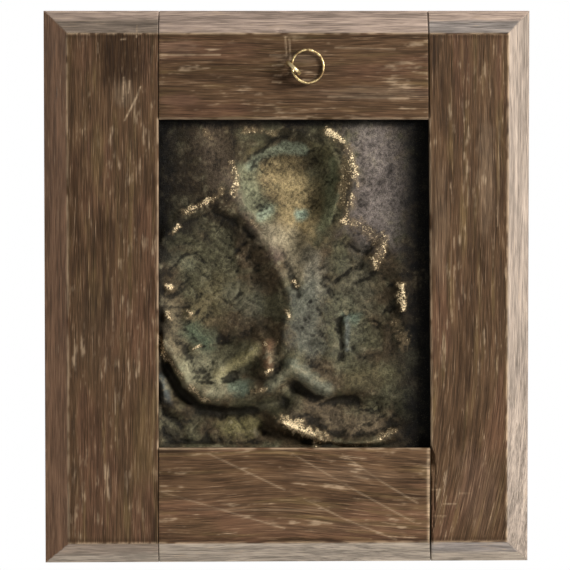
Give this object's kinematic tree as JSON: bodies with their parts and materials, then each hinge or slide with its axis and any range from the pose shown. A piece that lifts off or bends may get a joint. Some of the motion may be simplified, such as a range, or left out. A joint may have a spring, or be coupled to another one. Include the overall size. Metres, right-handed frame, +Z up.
{
  "type": "framed relief plaque",
  "caption": "Cast bronze relief panel in a bevelled wooden frame, with a screw eye and ring on the back to hang it by.",
  "frame": {"origin": "where the screw eye enters the back of the top rail, on the plane of the frame's back", "axes": "+Z up as it hangs, +X to the right seen from behind, -Y out of the back towards the wall, +Y out of the front"},
  "size_m": [0.2793, 0.0381, 0.3171],
  "materials": {
    "stained_wood": "dark worn stain over pale wood, dull, scuffed on the edges",
    "patinated_bronze": "brown to olive green patina with pale verdigris, worn to golden metal on the ridges",
    "brass_wire": "tarnished yellow brass, slightly hammered"
  },
  "bodies": {
    "root": {"left_stile": "stained_wood", "right_stile": "stained_wood", "top_rail": "stained_wood", "bottom_rail": "stained_wood", "bronze_relief": "patinated_bronze", "screw_eye": "brass_wire", "hanging_ring": "brass_wire"}
  },
  "joints": []
}
